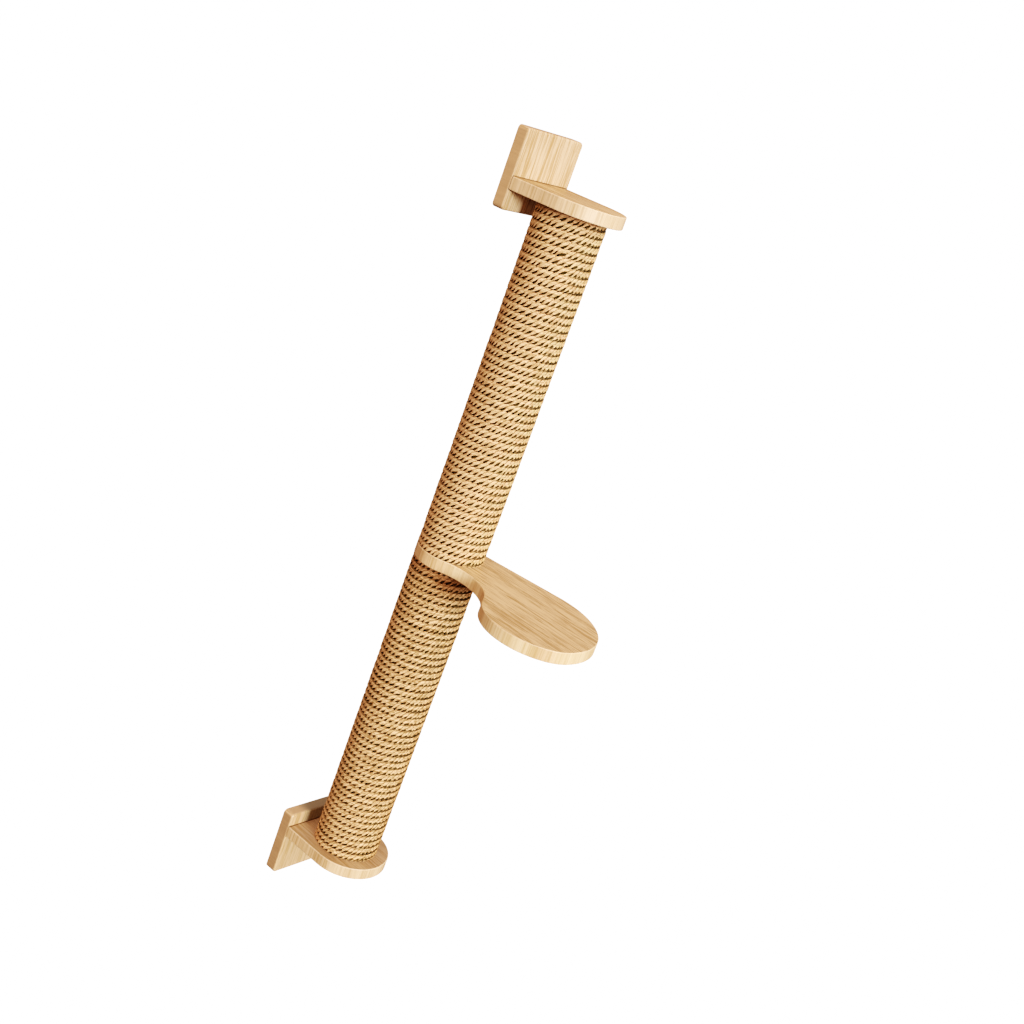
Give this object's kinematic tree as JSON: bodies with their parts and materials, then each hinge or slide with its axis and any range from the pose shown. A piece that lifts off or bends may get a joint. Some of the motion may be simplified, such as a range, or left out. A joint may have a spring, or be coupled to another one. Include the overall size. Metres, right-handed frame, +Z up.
{
  "type": "wall mounted cat tree",
  "caption": "Slim cat tree for a wall: a rope-wound scratching post between two small D-shaped shelves on wall plates, with a paddle-shaped step halfway up that swivels on the post.",
  "frame": {"origin": "on the wall plane, halfway between the two keyhole entries of the upper wall plate", "axes": "+Z up the post, +Y into the wall, +X along the wall"},
  "size_m": [0.1911, 0.3633, 1.18],
  "materials": {
    "blond_wood": "sanded blond hardwood with a thin clear satin oil",
    "sisal_rope": "natural twisted sisal, dry and fibrous",
    "core_board": "spiral-wound grey-brown board tube",
    "plug_wood": "plain turned softwood, unfinished",
    "dowel_beech": "plain beech",
    "zinc_steel": "bright zinc plated",
    "dark_steel": "dull steel nail"
  },
  "bodies": {
    "wall_frame": {"upper_wall_plate": "blond_wood", "upper_shelf": "blond_wood", "upper_keyhole_hangers": "zinc_steel", "upper_hanger_screws": "zinc_steel", "upper_bracket_screws": "zinc_steel", "upper_dowels": "dowel_beech", "upper_post_tube": "core_board", "upper_post_top_plug": "plug_wood", "upper_post_bottom_plug": "plug_wood", "upper_post_top_tee_nut": "zinc_steel", "upper_post_bottom_tee_nut": "zinc_steel", "upper_rope_winding": "sisal_rope", "upper_rope_tacks": "dark_steel", "lower_wall_plate": "blond_wood", "lower_shelf": "blond_wood", "lower_keyhole_hangers": "zinc_steel", "lower_hanger_screws": "zinc_steel", "lower_bracket_screws": "zinc_steel", "lower_dowels": "dowel_beech", "lower_post_tube": "core_board", "lower_post_top_plug": "plug_wood", "lower_post_bottom_plug": "plug_wood", "lower_post_top_tee_nut": "zinc_steel", "lower_post_bottom_tee_nut": "zinc_steel", "lower_rope_winding": "sisal_rope", "lower_rope_tacks": "dark_steel", "upper_shelf_insert": "zinc_steel", "upper_stud": "zinc_steel", "joining_stud": "zinc_steel", "lower_bolt": "zinc_steel", "lower_bolt_washer": "zinc_steel"},
    "step": {"step_board": "blond_wood"}
  },
  "joints": [
    {"name": "step_swivel", "type": "hinge", "parent": "wall_frame", "child": "step", "pos_m": [0, -0.0835, -0.5715], "axis": [0, 0, 1], "range_deg": [-75, 85]}
  ]
}
